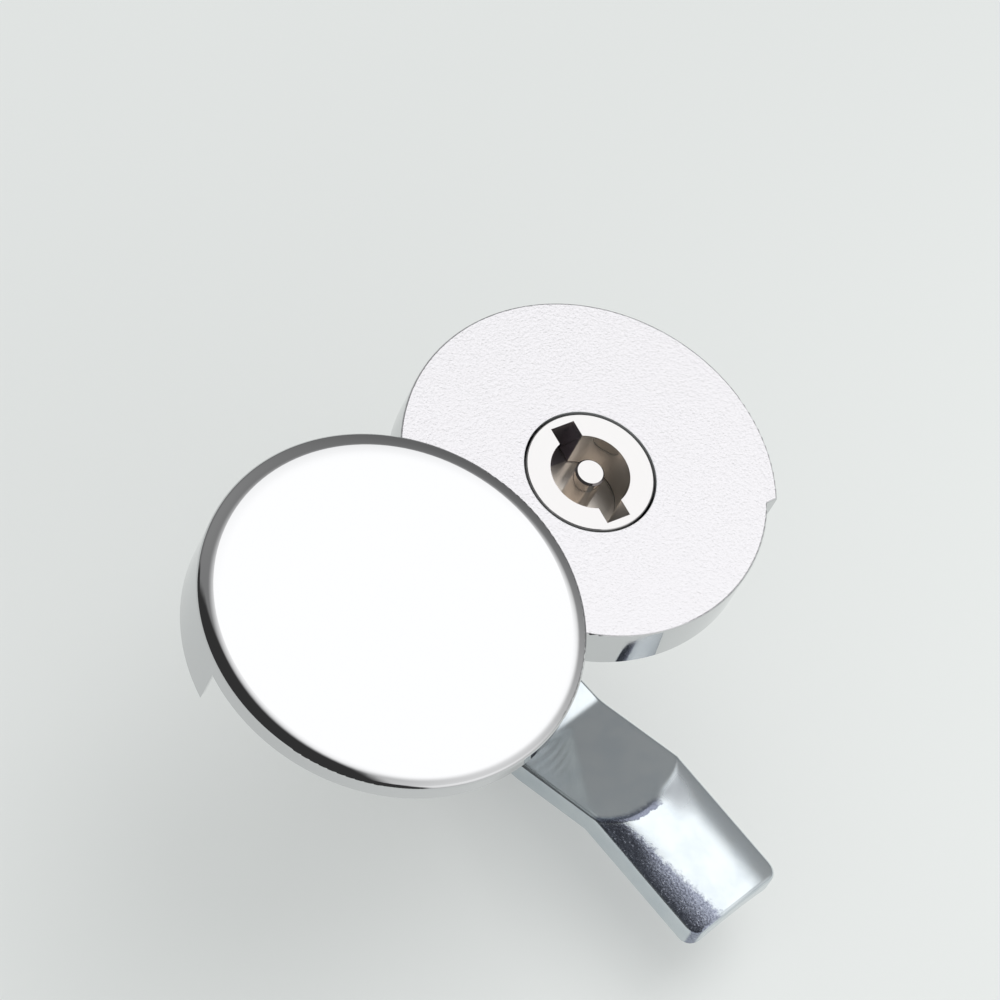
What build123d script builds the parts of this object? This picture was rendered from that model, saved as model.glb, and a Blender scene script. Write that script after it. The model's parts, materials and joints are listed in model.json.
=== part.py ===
"""Quarter-turn cam lock with a swing-aside round cover, millimetres.

The origin is the centre of the rosette's rear face, where the panel lies.
+Z runs along the lock's axis towards the front, and +Y points to the cover's pivot.
The cover is drawn closed and then swung open, which is how it rests.
"""
import os
from math import atan2, cos, degrees, radians, sin, sqrt, tan

from build123d import *

# Rosette and its cover
rosette_height = 6.75
rosette_edge = 0.25
rosette_rim = 1.27            # metal left between the pivot's pocket and the rosette's edge
seat_step = 1.3               # the rosette is this much smaller where the skirt closes round it
seat_first_angle = 120.0      # measured from +X, seen from the front
seat_last_angle = 240.3
step_slant_angle = 2.0        # each step's inner corner lies this far inside its outer one
skirt_clearance = 0.25
skirt_end_gap = 0.5           # degrees, between the skirt's ends and the two steps
skirt_drop = 5.9
cover_gap = 0.25
cover_height = 3.0
cover_buffed_width = 2.5      # buffing rounded the top a little before the rim begins
cover_buffed_angle = 4.0
cover_edge_width = 2.0        # the rim is a flat arc that ends in a small one, the nose
cover_edge_depth = 1.0
cover_edge_nose = 0.6
cover_top_wall = 1.7
cover_rim_wall = 2.4
cover_rib_width = 1.3
cover_rib_turns = (-125.0, -90.0, -55.0)

# Cover pivot
cover_swing = 152.5
pivot_boss_radius = 3.0
pivot_hub_width = 3.2         # of the cover's full-height metal round the boss
pivot_running_gap = 0.05
bush_wall = 1.05
bush_flange_width = 1.1
bush_flange_height = 1.0
bush_flange_rise = 0.2
pocket_depth = 3.2
pocket_wall = 0.83            # between the pocket's ledge and the gasket's groove
stop_plate_rim = 0.8
stop_plate_gap = 0.25
stop_plate_height = 1.0
stop_tab_length = 0.7
stop_tab_angle = 48.0
stop_margin = 3.0
boss_flat_cut = 0.8
disc_spring_height = 0.6
disc_spring_wall = 0.3
disc_spring_gap = 0.15
pivot_screw_wall = 1.5        # of the boss round its tapped hole
pivot_screw_head_radius = 2.9
pivot_screw_head_height = 1.2
pivot_screw_length = 6.0
pivot_screw_end_gap = 0.5
pivot_screw_rounding = 0.54
pivot_recess_width = 0.7
pivot_recess_depth = 0.72

# Rear of the rosette
gasket_land = 1.0             # from the thread to the gasket's groove
gasket_width = 2.1
gasket_groove_depth = 1.2
gasket_side_gap = 0.05
core_land = 1.3               # from the groove to the pockets
core_wall = 2.8               # left outside the pockets
core_depth = 4.2
core_pockets = 7
core_first_angle = 133.0
core_last_angle = 407.0
core_rib_width = 1.5

# Threaded barrel of the housing
barrel_wall = 1.3             # round the head's bore
barrel_flat_cut = 0.1
thread_depth = 0.9
barrel_length = 38.6
barrel_end_chamfer = 0.8
panel_gap = 2.5
tooth_washer_thickness = 1.0
tooth_length = 1.85
tooth_washer_band = 3.0
washer_teeth = 12
tooth_gap_share = 0.54        # of each tooth's pitch
nut_height = 6.0
nut_wall = 4.0                # from the thread to the middle of each flat
nut_bore_gap = 0.15
nut_chamfer = 1.1

# Key barrel
head_radius = 8.45
head_gap = 0.35
head_length = 13.05
head_chamfer = 0.12
spindle_step = 2.45
socket_radius = 5.3
socket_depth = 9.0
slot_width = 3.5
slot_wall = 1.15              # from the slot's end to the head's side
key_pin_radius = 1.95
key_pin_chamfer = 0.25
seal_groove_depth = 1.5
seal_groove_width = 2.0
seal_groove_offset = 1.9      # groove's middle above the head's rear face
seal_section_radius = 0.8
seal_side_gap = 0.05
turn_angle = 90.0
drive_flat_cut = 2.0          # from the spindle's side to each flat of the square
drive_gap = 0.05
drive_shortfall = 0.25        # the square ends this much inside the cam, so the screw clamps
drive_wall = 1.0              # of the square round the cam screw

# Rear bearing and stop
rear_recess_depth = 2.6
rear_recess_wall = 1.9
rear_bush_wall = 1.5
rear_bush_length = 12.0
press_gap = 0.02
running_gap = 0.05
thrust_washer_thickness = 0.8
thrust_washer_gap = 0.3
circlip_thickness = 1.0
circlip_width = 1.3
circlip_groove_depth = 0.5
circlip_gap_angle = 60.0
stop_washer_thickness = 1.8
stop_washer_gap = 0.35        # from the barrel's rear face to the washer
stop_hub_gap = 0.7            # from the washer's round part to the ledge
stop_arm_gap = 0.1            # from the arm's end to the barrel's root
stop_arm_angle = 60.0
stop_end_gap = 1.2            # degrees left between the arm and the ledge at each limit
ledge_gap = 0.35              # from the ledge to the cam
ledge_width = 1.8

# Cam and its screw
cam_direction = 193.5
cam_width = 16.4
cam_thickness = 3.0
cam_flat_length = 14.8        # from the axis to the first bend
cam_ramp_end = 27.9           # where the ramp meets the tip along the strip's sides
cam_rise = 4.6                # the sides' height there
cam_reach = 48.6
cam_tip_drop = 1.3            # the tip falls by this much to its end
cam_arch = 1.3                # the tip's middle stands this much above its sides
cam_bend_radius = 6.0
cam_crease_radius = 3.0
cam_edge_radius = 0.6
cam_corner_radius = 2.0
cam_washer_thickness = 1.2
cam_washer_radius = 8.0
spring_washer_thickness = 1.5
spring_washer_band = 2.35
spring_washer_split = 0.8
spring_washer_slant = 25.0
cam_screw_gap = 0.05
cam_screw_length = 16.0
cam_screw_head_height = 4.0
cam_screw_head_chamfer = 1.0
cam_screw_end_gap = 1.0       # from the screw's tip to the hole's floor
cam_screw_head_rim = 2.0      # from the shank to the middle of each flat of the head

# Radii, from the key barrel's head inwards
slot_reach = head_radius - slot_wall
spindle_radius = head_radius - spindle_step
spindle_bore_radius = spindle_radius + rear_bush_wall
circlip_outer_radius = spindle_radius + circlip_width
drive_square = 2 * (spindle_radius - drive_flat_cut)
cam_screw_radius = drive_square / 2 - drive_wall
cam_screw_across_flats = 2 * (cam_screw_radius + cam_screw_head_rim)
spring_washer_radius = cam_screw_radius + cam_screw_gap + spring_washer_band

# Radii, from the head outwards to the rosette's edge
barrel_root_radius = head_radius + head_gap + barrel_wall
barrel_thread_radius = barrel_root_radius + thread_depth
barrel_flats = 2 * (barrel_root_radius - barrel_flat_cut)
nut_across_flats = 2 * (barrel_thread_radius + nut_wall)
tooth_washer_inner_radius = barrel_thread_radius + nut_bore_gap
tooth_washer_root_radius = tooth_washer_inner_radius + tooth_length
tooth_washer_outer_radius = tooth_washer_root_radius + tooth_washer_band
rear_recess_radius = barrel_root_radius - rear_recess_wall
thrust_washer_radius = rear_recess_radius - thrust_washer_gap
ledge_inner_radius = barrel_root_radius - ledge_width
stop_hub_radius = ledge_inner_radius - stop_hub_gap
stop_reach = barrel_root_radius - stop_arm_gap
gasket_inner_radius = barrel_thread_radius + gasket_land
gasket_outer_radius = gasket_inner_radius + gasket_width
core_inner_radius = gasket_outer_radius + core_land
pivot_hub_radius = pivot_boss_radius + pivot_hub_width
pivot_screw_radius = pivot_boss_radius - pivot_screw_wall
boss_flats = 2 * (pivot_boss_radius - boss_flat_cut)
stop_plate_radius = pivot_boss_radius + stop_plate_rim
stop_plate_reach = stop_plate_radius + stop_tab_length
ledge_radius = stop_plate_radius + stop_plate_gap
pocket_radius = stop_plate_reach + stop_plate_gap
disc_spring_radius = ledge_radius - disc_spring_gap
pivot_offset = gasket_outer_radius + pocket_wall + ledge_radius
rosette_radius = pivot_offset + pocket_radius + rosette_rim
seat_radius = rosette_radius - seat_step
core_outer_radius = rosette_radius - core_wall

# Levels along the axis
cover_floor = rosette_height + cover_gap
cover_top = cover_floor + cover_height
head_floor = rosette_height - head_length
washer_top = -(barrel_length + stop_washer_gap)
cam_top = washer_top - stop_washer_thickness
cam_floor = cam_top - cam_thickness
washer_rear = -panel_gap - tooth_washer_thickness
recess_floor = -(barrel_length - rear_recess_depth)
circlip_top = recess_floor - thrust_washer_thickness
skirt_radius = seat_radius + skirt_clearance
pivot = (0, pivot_offset)


def tube(outer, inner, low, high):
    """A ring about the lock's axis between two levels."""
    ring = Circle(outer) - Circle(inner)
    return Pos(0, 0, low) * extrude(ring, high - low)


def disc(radius, low, high):
    return Pos(0, 0, low) * extrude(Circle(radius), high - low)


def at(radius, angle):
    return (radius * cos(radians(angle)), radius * sin(radians(angle)))


def sector(inner, outer, first, last, slant=0.0):
    """A face between two radii and two angles, its ends leaning inwards by slant degrees."""
    lean = slant * (outer - inner) / (rosette_radius - seat_radius)
    outline = [
        CenterArc((0, 0), inner, first + lean, last - first - 2 * lean),
        Line(at(inner, last - lean), at(outer, last)),
        CenterArc((0, 0), outer, first, last - first),
        Line(at(outer, first), at(inner, first + lean)),
    ]
    return make_face(outline)


def pie(radius, first, last):
    """A face from the centre out to a radius, for arms and free sectors of any width."""
    outline = [
        Line((0, 0), at(radius, first)),
        CenterArc((0, 0), radius, first, last - first),
        Line(at(radius, last), (0, 0)),
    ]
    return make_face(outline)


def swing_open(shape):
    """Turn a piece that was drawn with the cover closed to where the open cover lies."""
    return Pos(*pivot) * Rot(0, 0, -cover_swing) * Pos(0, -pivot_offset) * shape


def save(node, shape):
    shape.label = node
    export_step(shape, f"parts/{node}.step")


def rosette():
    body = disc(rosette_radius, 0, rosette_height)
    lip = rosette_radius + skirt_clearance
    lean = step_slant_angle * (lip - rosette_radius) / (rosette_radius - seat_radius)
    seat = sector(seat_radius, lip, seat_first_angle - lean, seat_last_angle + lean, step_slant_angle)
    body -= extrude(seat, rosette_height)
    rim = body.faces().sort_by(Axis.Z)[-1].outer_wire().edges()
    return fillet(rim, rosette_edge)


def core_cuts():
    """The pockets that lighten the casting from behind, with parallel-sided ribs between them."""
    span = (core_last_angle - core_first_angle) / core_pockets
    ring = Circle(core_outer_radius) - Circle(core_inner_radius)
    ring &= pie(core_outer_radius * 2, core_first_angle, core_last_angle)
    for index in range(core_pockets + 1):
        turn = core_first_angle + index * span
        rib = Pos(core_outer_radius / 2, 0) * Rectangle(core_outer_radius * 1.2, core_rib_width)
        ring -= Rot(0, 0, turn) * rib
    return extrude(ring, core_depth)


def pivot_cuts():
    """Bore, flange seat and stop pocket for the cover's pivot, about the pivot's axis."""
    bush_radius = pivot_boss_radius + pivot_running_gap + bush_wall
    bore = disc(bush_radius + press_gap, 0, rosette_height)
    seat_depth = bush_flange_height - bush_flange_rise
    flange = disc(bush_radius + bush_flange_width + press_gap, rosette_height - seat_depth, rosette_height)
    half_free = (cover_swing + stop_tab_angle) / 2 + stop_margin
    pocket = extrude(Circle(ledge_radius) + pie(pocket_radius, 90 - half_free, 90 + half_free), pocket_depth)
    return Pos(*pivot) * (bore + flange + pocket)


def housing():
    """Rosette and threaded barrel, cast in one."""
    body = rosette()
    barrel = disc(barrel_root_radius, -barrel_length, 0)
    barrel = chamfer(barrel.edges().filter_by(GeomType.CIRCLE).sort_by(Axis.Z)[0], barrel_end_chamfer)
    ledge_floor = cam_top + ledge_gap
    free = turn_angle + stop_arm_angle + 2 * stop_end_gap
    arm_first = cam_direction + 180 - stop_arm_angle / 2 - stop_end_gap
    ring = Circle(barrel_root_radius - barrel_end_chamfer) - Circle(ledge_inner_radius)
    ring -= pie(barrel_root_radius * 2, arm_first, arm_first + free)
    ledge = Pos(0, 0, ledge_floor) * extrude(ring, -barrel_length - ledge_floor)
    slab = Box(barrel_root_radius * 2, barrel_flats, barrel_length * 3)
    body += (barrel + ledge) & slab
    body -= disc(head_radius + head_gap, head_floor, rosette_height)
    body -= disc(spindle_bore_radius, -barrel_length, head_floor)
    body -= disc(rear_recess_radius, -barrel_length, recess_floor)
    body -= tube(gasket_outer_radius, gasket_inner_radius, 0, gasket_groove_depth)
    return body - core_cuts() - pivot_cuts()


def panel_gasket():
    inner = gasket_inner_radius + gasket_side_gap
    outer = gasket_outer_radius - gasket_side_gap
    return tube(outer, inner, 0, gasket_groove_depth)


def tooth_washer():
    """Internal teeth that bite round the thread, each tooth's tip just clear of it."""
    ring = Circle(tooth_washer_outer_radius) - Circle(tooth_washer_inner_radius)
    pitch = 360 / washer_teeth
    half = tooth_gap_share / 2
    for index in range(washer_teeth):
        ring -= pie(tooth_washer_root_radius, (index - half) * pitch, (index + half) * pitch)
    return Pos(0, 0, washer_rear) * extrude(ring, tooth_washer_thickness)


def chamfered_hex(across_flats, height, ease):
    """A hexagonal prism from z = 0 down, its rear corners turned off at 30 degrees."""
    prism = extrude(RegularPolygon(across_flats / 2, 6, major_radius=False), -height)
    tip = across_flats / sqrt(3)
    corner = -height + ease / sqrt(3)
    outline = Polyline((0, 0), (tip, 0), (tip, corner), (tip - ease, -height), (0, -height), close=True)
    return prism & revolve(Plane.XZ * make_face(outline), Axis.Z)


def mounting_nut():
    nut = Pos(0, 0, washer_rear) * chamfered_hex(nut_across_flats, nut_height, nut_chamfer * 2)
    return nut - disc(barrel_root_radius + nut_bore_gap, washer_rear - nut_height, washer_rear)


def key_barrel():
    """Head with the double-bit socket, and the spindle that carries the cam."""
    body = disc(head_radius, head_floor, rosette_height)
    body = chamfer(body.edges().filter_by(GeomType.CIRCLE).sort_by(Axis.Z)[-1], head_chamfer)
    body += disc(spindle_radius, washer_top, head_floor)
    square_length = stop_washer_thickness + cam_thickness - drive_shortfall
    square = Rectangle(drive_square, drive_square) & Circle(spindle_radius - drive_gap)
    body += Rot(0, 0, cam_direction) * Pos(0, 0, washer_top) * extrude(square, -square_length)
    socket = Circle(socket_radius) + Rectangle(2 * slot_reach, slot_width)
    body -= Pos(0, 0, rosette_height - socket_depth) * extrude(socket, socket_depth)
    pin = disc(key_pin_radius, rosette_height - socket_depth, rosette_height)
    body += chamfer(pin.edges().filter_by(GeomType.CIRCLE).sort_by(Axis.Z)[-1], key_pin_chamfer)
    groove_middle = head_floor + seal_groove_offset
    half = seal_groove_width / 2
    body -= tube(head_radius, head_radius - seal_groove_depth, groove_middle - half, groove_middle + half)
    groove_floor = circlip_top - circlip_thickness - running_gap
    body -= tube(spindle_radius, spindle_radius - circlip_groove_depth, groove_floor, circlip_top)
    end = washer_top - square_length
    return body - disc(cam_screw_radius + cam_screw_gap, end, end + cam_screw_length)


def barrel_seal():
    """The O-ring in the head's groove, short of the housing's bore."""
    ring_radius = head_radius - seal_groove_depth + seal_side_gap + seal_section_radius
    section = Pos(ring_radius, head_floor + seal_groove_offset) * Circle(seal_section_radius)
    return revolve(Plane.XZ * section, Axis.Z)


def rear_bush():
    outer = spindle_bore_radius - press_gap
    return tube(outer, spindle_radius + running_gap, recess_floor, recess_floor + rear_bush_length)


def thrust_washer():
    return tube(thrust_washer_radius, spindle_radius + running_gap, circlip_top, recess_floor)


def circlip():
    inner = spindle_radius - circlip_groove_depth + press_gap
    ring = Circle(circlip_outer_radius) - Circle(inner)
    ring -= pie(circlip_outer_radius * 2, -circlip_gap_angle / 2, circlip_gap_angle / 2)
    return Pos(0, 0, circlip_top) * extrude(ring, -circlip_thickness)


def stop_washer():
    """Keyed to the square; its arm runs between the ends of the barrel's ledge."""
    half = stop_arm_angle / 2
    plate = Circle(stop_hub_radius) + pie(stop_reach, 180 - half, 180 + half)
    plate -= Rectangle(drive_square + 2 * drive_gap, drive_square + 2 * drive_gap)
    return Rot(0, 0, cam_direction) * Pos(0, 0, washer_top) * extrude(plate, -stop_washer_thickness)


def cam_bent(depth):
    """All that lies depth or more below the upper face of the flat and the ramp, carried on past the tip."""
    lean = atan2(cam_rise, cam_ramp_end - cam_flat_length)
    bend = cam_flat_length + depth * tan(lean / 2)
    far = 2 * cam_reach
    top = (far - bend) * tan(lean) - depth
    low = -4 * cam_thickness
    outline = Polyline((-far, low), (-far, -depth), (bend, -depth), (far, top), (far, low), close=True)
    side = make_face(outline)
    side = fillet(side.vertices().sort_by_distance((bend, -depth))[:1], cam_bend_radius + depth)
    return extrude(Plane.XZ * side, cam_width, both=True)


def cam_arched(depth):
    """All that lies depth or more below the tip's upper face, which is part of a long cylinder."""
    radius = (cam_width**2 / 4 + cam_arch**2) / (2 * cam_arch)
    fall = degrees(atan2(cam_tip_drop, cam_reach - cam_ramp_end))
    crown = Pos(cam_ramp_end, 0, cam_rise + cam_arch) * Rot(0, fall, 0)
    return crown * Pos(0, 0, -radius) * Rot(0, 90, 0) * Cylinder(radius - depth, 6 * cam_reach)


def cam_blank():
    """The strip's outline from above, round about the axis and square at the tip."""
    half = cam_width / 2
    plan = Pos((cam_reach - half) / 2, 0) * Rectangle(cam_reach + half, cam_width)
    plan = fillet(plan.vertices().sort_by(Axis.X)[-2:], cam_corner_radius)
    plan = fillet(plan.vertices().sort_by(Axis.X)[:2], half * 0.98)
    return Pos(0, 0, -3 * cam_thickness) * extrude(plan, 6 * cam_thickness + cam_rise)


def cam():
    """Pressed strip: a mounting flat, a ramp to the front, and a tip arched across its width.

    The ramp runs into the arch along a curved crease, and the shear left the upper edges rolled.
    """
    strip = cam_bent(0) & cam_arched(0) & cam_blank()
    crease = strip.edges().sort_by_distance((cam_ramp_end, 0, cam_rise + cam_arch))[0]
    strip = fillet(crease, cam_crease_radius)
    walls = strip.faces().filter_by(lambda face: abs(face.normal_at().Z) < 0.01)
    rolled = walls.edges().filter_by(Axis.Z, reverse=True).filter_by_position(Axis.Z, -1, 2 * cam_rise)
    strip = fillet(rolled, cam_edge_radius)
    strip -= cam_bent(cam_thickness) & cam_arched(cam_thickness)
    hole = Rectangle(drive_square + 2 * drive_gap, drive_square + 2 * drive_gap)
    strip -= extrude(hole, cam_thickness, both=True)
    return Pos(0, 0, cam_top) * Rot(0, 0, cam_direction) * strip


def cam_washer():
    inner = cam_screw_radius + cam_screw_gap
    return tube(cam_washer_radius, inner, cam_floor - cam_washer_thickness, cam_floor)


def spring_washer():
    top = cam_floor - cam_washer_thickness
    ring = tube(spring_washer_radius, cam_screw_radius + cam_screw_gap, top - spring_washer_thickness, top)
    split = Pos(spring_washer_radius, 0, top) * Rot(spring_washer_slant, 0, 0)
    return ring - split * Box(spring_washer_radius * 1.6, spring_washer_split, spring_washer_thickness * 5)


def cam_screw():
    head_top = cam_floor - cam_washer_thickness - spring_washer_thickness
    head = Pos(0, 0, head_top) * chamfered_hex(cam_screw_across_flats, cam_screw_head_height, cam_screw_head_chamfer)
    hole_start = cam_floor + drive_shortfall
    tip = hole_start + cam_screw_length - cam_screw_end_gap
    return head + disc(cam_screw_radius, head_top, tip)


def cover_outline():
    """Half section of the disc: flat top, buffed arc, rim arc and nose, each tangent to the next.

    The rim arc starts along the buffed arc's last normal and touches the nose from outside it.
    """
    lean = radians(cover_buffed_angle)
    buffed_radius = cover_buffed_width / sin(lean)
    buffed_drop = buffed_radius * (1 - cos(lean))
    flat_radius = rosette_radius - cover_edge_width - cover_buffed_width
    buffed_centre = (flat_radius, cover_top - buffed_radius)
    rim_start = (rosette_radius - cover_edge_width, cover_top - buffed_drop)
    nose_centre = (rosette_radius - cover_edge_nose, cover_top - cover_edge_depth)
    across = nose_centre[0] - rim_start[0]
    down = rim_start[1] - nose_centre[1]
    reach = across**2 + down**2 - cover_edge_nose**2
    rim_radius = reach / (2 * (down * cos(lean) - across * sin(lean) - cover_edge_nose))
    rim_centre = (rim_start[0] - rim_radius * sin(lean), rim_start[1] - rim_radius * cos(lean))
    nose_turn = degrees(atan2(nose_centre[1] - rim_centre[1], nose_centre[0] - rim_centre[0]))
    return [
        Line((0, cover_floor), (0, cover_top)),
        Line((0, cover_top), (flat_radius, cover_top)),
        CenterArc(buffed_centre, buffed_radius, 90 - cover_buffed_angle, cover_buffed_angle),
        CenterArc(rim_centre, rim_radius, nose_turn, 90 - cover_buffed_angle - nose_turn),
        CenterArc(nose_centre, cover_edge_nose, 0, nose_turn),
        Line((rosette_radius, nose_centre[1]), (rosette_radius, cover_floor)),
        Line((rosette_radius, cover_floor), (0, cover_floor)),
    ]


def closed_cover():
    """Domed-rim disc, hollow beneath, with its part skirt and the pivot's boss."""
    body = revolve(Plane.XZ * make_face(cover_outline()), Axis.Z)
    hollow = Circle(rosette_radius - cover_rim_wall) - Pos(*pivot) * Circle(pivot_hub_radius)
    for turn in cover_rib_turns:
        reach = 2 * rosette_radius
        hollow -= Pos(*pivot) * Rot(0, 0, turn) * Pos(reach / 2, 0) * Rectangle(reach, cover_rib_width)
    body -= Pos(0, 0, cover_floor) * extrude(hollow, cover_height - cover_top_wall)
    first = seat_first_angle + skirt_end_gap
    last = seat_last_angle - skirt_end_gap
    skirt = sector(skirt_radius, rosette_radius, first, last, step_slant_angle)
    body += Pos(0, 0, cover_floor - skirt_drop) * extrude(skirt, skirt_drop + cover_height - cover_top_wall)
    plate_top = pocket_depth - disc_spring_height
    boss = disc(pivot_boss_radius, plate_top, cover_floor)
    keyed = Circle(pivot_boss_radius) & Rectangle(2 * pivot_boss_radius, boss_flats)
    boss += Pos(0, 0, plate_top) * extrude(keyed, -stop_plate_height)
    tapping = disc(pivot_screw_radius + press_gap, 0, plate_top - stop_plate_height + pivot_screw_length)
    return body + Pos(*pivot) * boss - Pos(*pivot) * tapping


def pivot_bush():
    inner = pivot_boss_radius + pivot_running_gap
    outer = inner + bush_wall
    top = rosette_height + bush_flange_rise
    body = tube(outer, inner, pocket_depth, top)
    body += tube(outer + bush_flange_width, inner, top - bush_flange_height, top)
    return Pos(*pivot) * body


def disc_spring():
    """A coned washer under the pocket's floor, its inner edge resting on the stop plate."""
    inner = pivot_boss_radius + 2 * pivot_running_gap
    high = pocket_depth
    low = pocket_depth - disc_spring_height
    outline = Polyline(
        (inner, low),
        (disc_spring_radius, high - disc_spring_wall),
        (disc_spring_radius, high),
        (inner, low + disc_spring_wall),
        close=True,
    )
    return Pos(*pivot) * revolve(Plane.XZ * make_face(outline), Axis.Z)


def pivot_stop_plate():
    """Its tab turns with the cover between the ends of the pocket's ledge."""
    top = pocket_depth - disc_spring_height
    first = 90 + cover_swing / 2 - stop_tab_angle / 2
    plate = Circle(stop_plate_radius) + pie(stop_plate_reach, first, first + stop_tab_angle)
    slot = boss_flats + 2 * press_gap
    plate -= Circle(pivot_boss_radius + press_gap) & Rectangle(3 * pivot_boss_radius, slot)
    return Pos(*pivot) * Pos(0, 0, top) * extrude(plate, -stop_plate_height)


def pivot_screw():
    seat = pocket_depth - disc_spring_height - stop_plate_height
    head = disc(pivot_screw_head_radius, seat - pivot_screw_head_height, seat)
    head = fillet(head.edges().filter_by(GeomType.CIRCLE).sort_by(Axis.Z)[0], pivot_screw_rounding)
    shank = disc(pivot_screw_radius, seat, seat + pivot_screw_length - pivot_screw_end_gap)
    arm = Rectangle(pivot_screw_head_radius, pivot_recess_width)
    arm += Rectangle(pivot_recess_width, pivot_screw_head_radius)
    recess = Pos(0, 0, seat - pivot_screw_head_height) * extrude(arm, pivot_recess_depth)
    return Pos(*pivot) * (head + shank - recess)


os.makedirs("parts", exist_ok=True)
fixed = {
    "housing": housing,
    "panel_gasket": panel_gasket,
    "tooth_washer": tooth_washer,
    "mounting_nut": mounting_nut,
    "rear_bush": rear_bush,
    "pivot_bush": pivot_bush,
    "key_barrel": key_barrel,
    "barrel_seal": barrel_seal,
    "thrust_washer": thrust_washer,
    "circlip": circlip,
    "stop_washer": stop_washer,
    "cam": cam,
    "cam_washer": cam_washer,
    "spring_washer": spring_washer,
    "cam_screw": cam_screw,
}
swinging = {
    "cover": closed_cover,
    "disc_spring": disc_spring,
    "pivot_stop_plate": pivot_stop_plate,
    "pivot_screw": pivot_screw,
}
for node, make in fixed.items():
    save(node, make())
for node, make in swinging.items():
    save(node, swing_open(make()))
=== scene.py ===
import json
from math import cos, pi, radians, sin

import bmesh
import bpy
import numpy as np
from mathutils import Matrix, Vector


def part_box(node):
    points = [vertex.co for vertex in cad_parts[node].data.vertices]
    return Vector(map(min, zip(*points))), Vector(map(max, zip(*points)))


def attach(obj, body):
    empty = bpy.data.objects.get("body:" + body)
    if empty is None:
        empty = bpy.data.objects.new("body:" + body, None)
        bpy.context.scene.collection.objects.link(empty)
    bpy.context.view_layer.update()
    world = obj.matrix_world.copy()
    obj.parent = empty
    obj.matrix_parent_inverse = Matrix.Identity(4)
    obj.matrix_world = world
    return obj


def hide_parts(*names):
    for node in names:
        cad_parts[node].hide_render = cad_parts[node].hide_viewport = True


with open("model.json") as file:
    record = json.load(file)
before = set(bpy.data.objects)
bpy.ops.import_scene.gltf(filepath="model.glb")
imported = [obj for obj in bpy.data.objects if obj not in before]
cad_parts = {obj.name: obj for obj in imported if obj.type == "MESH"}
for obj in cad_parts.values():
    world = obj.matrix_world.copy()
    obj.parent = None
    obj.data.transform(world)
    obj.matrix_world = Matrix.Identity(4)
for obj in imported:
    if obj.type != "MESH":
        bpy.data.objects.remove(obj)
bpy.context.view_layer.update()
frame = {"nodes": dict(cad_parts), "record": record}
cadNodes = frame["nodes"]
mm = 0.001

# Levels read from the frame, so that a finish starts and ends where the metal does
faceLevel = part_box("housing")[1].z
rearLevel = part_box("housing")[0].z       # the barrel's free end
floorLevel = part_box("cam_screw")[0].z

camAzimuth = 193.5             # which way the cam points, in degrees
tiny = 1e-6                    # keeps a divisor from being zero


# Node helpers

def addNode(tree, kind, **settings):
    node = tree.nodes.new(kind)
    for name, value in settings.items():
        setattr(node, name, value)
    return node


def feed(tree, socket, value):
    # a socket takes a link, a number or a colour
    if isinstance(value, bpy.types.NodeSocket):
        tree.links.new(value, socket)
    elif isinstance(value, (tuple, list)):
        socket.default_value = tuple(value) + (1.0,) * (len(socket.default_value) - len(value))
    else:
        socket.default_value = value


def compute(tree, operation, *values):
    node = addNode(tree, "ShaderNodeMath", operation=operation)
    for socket, value in zip(node.inputs, values):
        feed(tree, socket, value)
    return node.outputs[0]


def ramp(tree, value, low, high):
    # 0 at low and 1 at high, held outside them and eased between; low may be the larger
    node = addNode(tree, "ShaderNodeMapRange", interpolation_type="SMOOTHSTEP")
    feed(tree, node.inputs["Value"], value)
    node.inputs["From Min"].default_value = low
    node.inputs["From Max"].default_value = high
    return node.outputs["Result"]


def blendColours(tree, share, first, second):
    # a Mix node's colour sockets are inputs 6 and 7 and output 2
    node = addNode(tree, "ShaderNodeMix", data_type="RGBA")
    feed(tree, node.inputs[0], share)
    feed(tree, node.inputs[6], first)
    feed(tree, node.inputs[7], second)
    return node.outputs[2]


def blendValues(tree, share, first, second):
    # and its number sockets are inputs 2 and 3 and output 0
    node = addNode(tree, "ShaderNodeMix")
    feed(tree, node.inputs[0], share)
    feed(tree, node.inputs[2], first)
    feed(tree, node.inputs[3], second)
    return node.outputs[0]


def noise(tree, place, scale, detail=2.0, roughness=0.5):
    node = addNode(tree, "ShaderNodeTexNoise")
    feed(tree, node.inputs["Vector"], place)
    feed(tree, node.inputs["Scale"], scale)
    feed(tree, node.inputs["Detail"], detail)
    feed(tree, node.inputs["Roughness"], roughness)
    return node.outputs["Fac"]


def direction(azimuth, elevation=0):
    # unit vector; azimuth from +X towards +Y, elevation from the floor, in degrees
    a, e = radians(azimuth), radians(elevation)
    return Vector((cos(a) * cos(e), sin(a) * cos(e), sin(e)))


def facing(tree, vector, azimuth, elevation=0):
    # how far a vector reaches in that direction
    node = addNode(tree, "ShaderNodeVectorMath", operation="DOT_PRODUCT")
    feed(tree, node.inputs[0], vector)
    node.inputs[1].default_value = direction(azimuth, elevation)
    return node.outputs["Value"]


def newGroup(name, inputs, outputs):
    group = bpy.data.node_groups.new(name, "ShaderNodeTree")
    for label, kind, value in inputs:
        socket = group.interface.new_socket(label, in_out="INPUT", socket_type=kind)
        if value is not None:
            socket.default_value = value
    for label, kind in outputs:
        group.interface.new_socket(label, in_out="OUTPUT", socket_type=kind)
    start = addNode(group, "NodeGroupInput")
    end = addNode(group, "NodeGroupOutput")
    return group, start.outputs, end.inputs


def useGroup(tree, group, **values):
    node = addNode(tree, "ShaderNodeGroup", node_tree=group)
    for name, value in values.items():
        feed(tree, node.inputs[name], value)
    return node.outputs


# Shared effects

castLook = {
    "detail": 3.0,
    "roughness": 0.6,
    "fineRatio": 3.1,          # the fine noise is this much denser
    "fineDetail": 2.0,
    "fineShare": 0.35,         # and has this share of the coarse one's height
    "toneLow": 0.35,
    "toneHigh": 0.65,
}


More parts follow.
